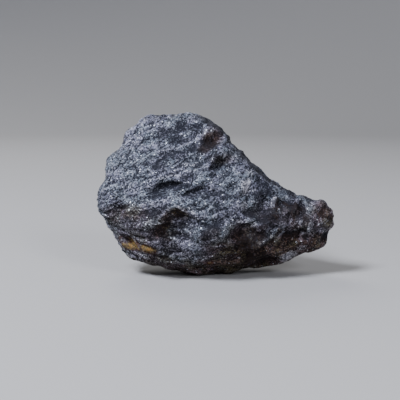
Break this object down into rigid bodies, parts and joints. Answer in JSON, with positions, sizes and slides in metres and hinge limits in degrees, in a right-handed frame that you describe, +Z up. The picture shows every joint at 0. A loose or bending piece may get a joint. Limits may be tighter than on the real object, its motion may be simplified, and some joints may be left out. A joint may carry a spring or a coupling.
{
  "type": "tektite",
  "caption": "Rough lump of black natural glass with a blunt end and a narrow snout, flow ridges, scooped pits and a small flat spot to rest on.",
  "frame": {"origin": "on the resting surface, under the middle of the lump's bounding box", "axes": "+Z up, +X along the lump's length towards its narrow snout, the broad face with the flow lines looks along -Y"},
  "size_m": [0.0478, 0.0238, 0.0325],
  "materials": {
    "etched_glass": "opaque black glass with an etched satin skin, brown in the hollows and ochre soil in a few pits"
  },
  "bodies": {
    "root": {"tektite": "etched_glass"}
  },
  "joints": []
}
